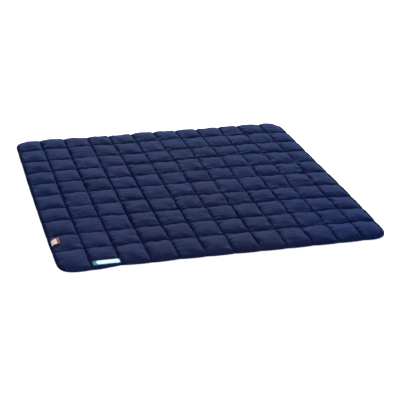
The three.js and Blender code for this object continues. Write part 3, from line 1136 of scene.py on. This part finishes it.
def heights_under(tree, x, y):
    """Height of a mesh, from above, at arrays of places."""
    z = np.zeros(x.shape)
    for number, (a, b) in enumerate(zip(x.ravel(), y.ravel())):
        hit = tree.ray_cast(Vector((a, b, OVERHEAD)), Vector((0, 0, -1)))
        z.flat[number] = hit[0].z if hit[0] else 0.0
    return z


def cloth_piece(name, points, measure, material, thickness, flip=False):
    """A thin piece of cloth over a grid, with its flat measure in an attribute."""
    faces = grid_faces(np.arange(points[..., 0].size).reshape(points.shape[:2]))
    mesh = bpy.data.meshes.new(name)
    mesh.from_pydata(points.reshape(-1, 3).tolist(), [], faces[:, ::-1 if flip else 1].tolist())
    add_vectors(mesh, "weave", measure)
    piece = add_object(name, mesh)
    solid = piece.modifiers.new("thick", "SOLIDIFY")
    solid.thickness = thickness
    solid.offset = -1.0
    apply_modifiers(piece)
    shade_smooth(piece)
    piece.data.materials.append(material)
    print(name, "has", len(piece.data.polygons), "faces")
    return piece


# %% [markdown]
# The front label pulls its pocket flat. A smooth slope is fitted to the cloth
# where the label goes, made flatter, and the cloth is moved down onto it, with
# a soft edge round the label.

# %% Press the pocket under the front label
PRESS_REACH = 6.0 * MM
PRESSED_IN = 1.9 * MM
KEPT_SLOPE = (1, 0, 0.1, 0.4, 0.375)  # of the level, s, t, t squared and s to the fourth
PAST_ACROSS, PAST_ALONG = 1.2, 1.4    # the slope goes on this far, in half labels


def label_plane(s, t, fit):
    """Height of the front label over its own s and t, from -1 to 1."""
    return fit[0] + fit[1] * s + fit[2] * t + fit[3] * t * t + fit[4] * s ** 4


x0, x1, y0, y1 = label_box(FRONT_LABEL)
mid_x, mid_y, half_x, half_y = (x0 + x1) / 2, (y0 + y1) / 2, (x1 - x0) / 2, (y1 - y0) / 2
s, t = np.meshgrid(np.linspace(-1, 1, 15), np.linspace(-1, 1, 7), indexing="ij")
z = heights_under(quilt_tree, mid_x + s * half_x, mid_y + t * half_y)
terms = np.stack([s * 0 + 1, s, t, t * t, s ** 4], -1).reshape(-1, 5)
front_fit = np.linalg.lstsq(terms, z.ravel(), rcond=None)[0] * KEPT_SLOPE
front_fit[0] -= PRESSED_IN
print("front label lies at, mm:", (front_fit / MM).round(2))

co = read_vectors(quilt.data.vertices, "co")
s = np.clip((co[:, 0] - mid_x) / half_x, -PAST_ACROSS, PAST_ACROSS)
t = np.clip((co[:, 1] - mid_y) / half_y, -PAST_ALONG, PAST_ALONG)
off_x = np.maximum(np.maximum(x0 - co[:, 0], co[:, 0] - x1), 0)
off_y = np.maximum(np.maximum(y0 - co[:, 1], co[:, 1] - y1), 0)
held_down = smooth(1 - np.hypot(off_x, off_y) / PRESS_REACH) * (on_top > 0.99)
co[:, 2] += held_down * (label_plane(s, t, front_fit) - co[:, 2])
write_vectors(quilt.data.vertices, "co", co)
quilt.data.update()

# %% [markdown]
# A woven label is a tight taffeta: warp and weft cross every few tenths of a
# millimetre. Two sine waves make that grain, in a little shade and a little
# bump. The pale panel is other threads in the same weave, and the pale stripe
# beside the side label's fold is a painted highlight; both are colours on the
# flat measure and not pieces of their own.

# %% Woven material
WARP_PITCH, WEFT_PITCH = 0.45, 0.3    # mm
WEAVE_SHADE = 0.08
PANEL_FADE = -0.25, 0.05              # mm, from inside a panel's edge to outside it
WEAVE_HEIGHT = 0.08 * MM
BLACK, WHITE = (0, 0, 0, 1), (1, 1, 1, 1)


def rounded_box(t, x, y, box, radius):
    """1 within a rounded box of the flat measure, in mm, and 0 outside."""
    def beyond(value, low, high):
        from_middle = t.math("ABSOLUTE", t.math("SUBTRACT", value, (low + high) / 2))
        inner_half = (high - low) / 2 - radius
        return t.math("MAXIMUM", t.math("SUBTRACT", from_middle, inner_half), 0.0)

    out_x, out_y = beyond(x, box[0], box[2]), beyond(y, box[1], box[3])
    squares = t.math("ADD", t.math("MULTIPLY", out_x, out_x), t.math("MULTIPLY", out_y, out_y))
    far = t.math("SQRT", squares)
    return t.ramp(far, radius + PANEL_FADE[0], radius + PANEL_FADE[1], 1.0, 0.0)


def woven(name, base, panel, panel_box, radius, highlight_stripe=None, highlight_stripe_box=None):
    """A woven label: a base colour, a bare rounded panel, and perhaps a painted highlight stripe.
    """
    material = bpy.data.materials.new(name)
    t = shading(material)
    x, y, _ = t.split(t.attribute("weave"))
    tint = t.mix(rounded_box(t, x, y, panel_box, radius), base, panel)
    # a pale stripe is a painted highlight, where a fold catches the light
    if highlight_stripe:
        tint = t.mix(rounded_box(t, x, y, highlight_stripe_box, 0.3), tint, highlight_stripe)
    warp = t.math("SINE", t.math("MULTIPLY", x, 2 * math.pi / WARP_PITCH))
    weft = t.math("SINE", t.math("MULTIPLY", y, 2 * math.pi / WEFT_PITCH))
    threads = t.math("MULTIPLY", warp, weft)
    t.fill(t.shader, {
        "Base Color": t.mix(t.ramp(threads, -1.0, 1.0, 0.0, WEAVE_SHADE), tint, BLACK),
        "Roughness": 0.7,
        "Specular IOR Level": 0.1,
        "Sheen Weight": 0.2,
        "Normal": t.bump(threads, WEAVE_HEIGHT, 0.7)})
    return material


# %% The front label
LABEL_THICKNESS = 0.7 * MM
LABEL_CORNER = 1.2 * MM
TEAL, PALE_TEAL = colour(42, 136, 132), colour(224, 252, 240)
FRONT_PANEL, FRONT_PANEL_RADIUS = (9.0, 1.2, 67.0, 18.8), 7.5       # mm, two corners


def rounded_grid(width, depth, nx, ny, radius):
    """A grid over a rectangle with round corners, as two arrays from its middle."""
    x, y = np.meshgrid(
        np.linspace(-width / 2, width / 2, nx), np.linspace(-depth / 2, depth / 2, ny),
        indexing="ij")
    return round_off(x, y, np.sign(x) * width / 2, np.sign(y) * depth / 2, radius)


width, depth = FRONT_LABEL["width"], FRONT_LABEL["depth"]
x, y = rounded_grid(width, depth, 69, 21, LABEL_CORNER)
z = label_plane(x / (width / 2), y / (depth / 2), front_fit) + LABEL_CLEARANCE + LABEL_THICKNESS
front_label = cloth_piece(
    "front_label_woven",
    np.stack([x + mid_x, y + mid_y, z], -1),
    np.stack([x / MM + width / MM / 2, y / MM + depth / MM / 2, x * 0], -1),
    woven("front label weave", TEAL, PALE_TEAL, FRONT_PANEL, FRONT_PANEL_RADIUS),
    LABEL_THICKNESS)
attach(front_label, BODY)
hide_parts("front_label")

# %% [markdown]
# The front label is sewn down along its two short sides, with a finer thread
# and shorter stitches than the seams. The same tree makes them, with other
# sizes put in.

# %% Sew the front label down
LABEL_STITCH = dict(Spacing=2.4 * MM, Length=1.9 * MM, Width=0.45 * MM, Height=0.4 * MM)
LABEL_STITCH_LIFT = 0.3 * MM
LINE_POINTS = 12

side_lines = []
for share in (0.03, 0.97):            # of the label's width
    x = np.full(LINE_POINTS, x0 + share * (x1 - x0))
    y = np.linspace(y0 + LABEL_CORNER, y1 - LABEL_CORNER, LINE_POINTS)
    z = label_plane((x - mid_x) / (width / 2), (y - mid_y) / (depth / 2), front_fit)
    side_lines.append(list(zip(x, y, z + LABEL_STITCH_LIFT + LABEL_THICKNESS)))
label_thread = thread("label thread", colour(60, 134, 134))
sew("label_stitches", side_lines, label_thread, 8, **LABEL_STITCH)

# %% [markdown]
# The side label is one strip, folded in two. Its section runs out along the
# lower layer, round the fold and back along the upper one. The loop is lifted
# off the slope of its pocket, and its back corner curls up most.

# %% The section of the loop
LOOP_GAP = 0.3 * MM
LOOP_THICKNESS = 0.5 * MM
LOOP_POINTS, FOLD_POINTS, LOOP_LINES = 15, 5, 19


def loop_section(reach):
    """Out on one layer, round the fold and back: distance from the edge, and height."""
    r = LOOP_GAP / 2 + LOOP_THICKNESS
    along = np.linspace(0, 1, LOOP_POINTS)
    turn = np.linspace(-90, 90, FOLD_POINTS + 2)[1:-1] * math.pi / 180
    straight = reach - r
    out = np.concatenate([along * straight, straight + r * np.cos(turn), (1 - along) * straight])
    up = np.concatenate([along * 0, r + r * np.sin(turn), along * 0 + 2 * r])
    return out, up


# %% The side label
LOOP_LIFT_FRONT, LOOP_LIFT_BACK = 3.4 * MM, 2.8 * MM
LOOP_CORNER = 1.8 * MM
LOOP_SLANT = 1.5 * MM
# the pale red stripe beside the fold is a painted highlight
RED, CREAM, FOLD_HIGHLIGHT_RED = colour(116, 34, 34), colour(255, 240, 210), colour(156, 76, 68)
SIDE_PANEL, SIDE_PANEL_RADIUS = (-4.0, 2.0, 15.6, 22.6), 1.5
SIDE_FOLD_HIGHLIGHT = (17.2, 1.6, 20.4, 25.0)

left, _, front, _ = label_box(SIDE_LABEL)
reach, depth = SIDE_LABEL["width"], SIDE_LABEL["depth"]
out, up = loop_section(reach)
across = np.linspace(0, 1, LOOP_LINES)
out, up = out[:, None] + 0 * across, up[:, None] + 0 * across
across = across[None, :] + 0 * out
share = out / reach
x, y = left + out, front + across * depth + LOOP_SLANT * share
spread = smooth(share / 0.3) * (1 - 0.9 * share)
lift_here = LOOP_LIFT_FRONT + (LOOP_LIFT_BACK - LOOP_LIFT_FRONT) * across
lift = LABEL_CLEARANCE + spread * lift_here
lift = lift + LOOP_CORNER * share * across ** 1.5
z = heights_under(tree_of(quilt), x, y) + lift + up
middle = LOOP_LINES // 2
steps = np.hypot(np.diff(out[:, middle]), np.diff(z[:, middle]))
length = np.concatenate([[0], np.cumsum(steps)])
from_fold = (length[-1] - length)[:, None] / MM + 0 * across
side_label = cloth_piece(
    "side_label_woven",
    np.stack([x, y, z], -1),
    np.stack([from_fold, across * depth / MM, across * 0], -1),
    woven("side label weave", RED, CREAM, SIDE_PANEL, SIDE_PANEL_RADIUS, FOLD_HIGHLIGHT_RED, SIDE_FOLD_HIGHLIGHT),
    LOOP_THICKNESS, flip=True)
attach(side_label, BODY)
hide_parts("side_label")

# %% [markdown]
# ## Light and floor
#
# The blanket lies in a plain pale studio. A large window lamp at the back right
# draws the pockets with a low, soft light, and a weak lamp fills in from the
# front left. The world gives the rest, a little blue. What the camera sees of
# the world and the floor should be white, but more light would bleach the
# cloth. So both glow only for rays that come from the camera, from a gloss or
# through glass, and the floor keeps the blanket's shadow.

# %% Lamps
def area_light(name, azimuth, elevation, distance, size, watts):
    data = bpy.data.lights.new(name, "AREA")
    data.shape = "DISK"
    data.size = size
    data.energy = watts
    add_looking(name, data, azimuth, elevation, distance)


area_light("window", azimuth=152, elevation=22, distance=6.0, size=3.0, watts=873)
area_light("fill", azimuth=-60, elevation=30, distance=4.0, size=3.0, watts=50)
print("lamps:", [lamp.name for lamp in bpy.data.lights])

# %% World
WORLD_LIGHT = 0.224
WORLD_TINT = (0.7, 0.88, 1.9, 1)


def seen_share(t):
    """1 for rays that see the background, and 0 for rays that light the object."""
    rays = t.add("ShaderNodeLightPath")
    seen = t.math("MAXIMUM", rays["Is Camera Ray"], rays["Is Glossy Ray"])
    return t.math("MAXIMUM", seen, rays["Is Transmission Ray"])


world = bpy.data.worlds.new("studio")
bpy.context.scene.world = world
sky = shading(world, "Background", "OutputWorld")
seen = seen_share(sky)
sky.fill(sky.shader, {
    "Strength": sky.ramp(seen, 0.0, 1.0, WORLD_LIGHT, 1.0),
    "Color": sky.mix(seen, WORLD_TINT, WHITE)})
print("world light:", WORLD_LIGHT)

# %% Floor
FLOOR_SIZE = 12.0
FLOOR_BELOW = 0.5 * MM
FLOOR_GLOW = 0.75

floor_mesh = bpy.data.meshes.new("floor")
half = FLOOR_SIZE / 2
floor_mesh.from_pydata(
    [(-half, -half, 0), (half, -half, 0), (half, half, 0), (-half, half, 0)], [], [(0, 1, 2, 3)])
floor = add_object("floor", floor_mesh)
floor.location.z = -FLOOR_BELOW
white_floor = bpy.data.materials.new("white floor")
t = shading(white_floor)
t.fill(t.shader, {
    "Base Color": (0.9, 0.9, 0.9, 1),
    "Roughness": 1.0,
    "Specular IOR Level": 0.0,
    "Emission Color": WHITE,
    "Emission Strength": t.math("MULTIPLY", seen_share(t), FLOOR_GLOW)})
floor_mesh.materials.append(white_floor)
print("floor is", FLOOR_SIZE, "m wide")

# %% [markdown]
# ## Hand over
#
# The cloth takes the place of the frame's plain quilt, which is hidden.

# %% Hand over
bpy.context.scene.view_settings.view_transform = "Standard"
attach(quilt, BODY)
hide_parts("quilt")
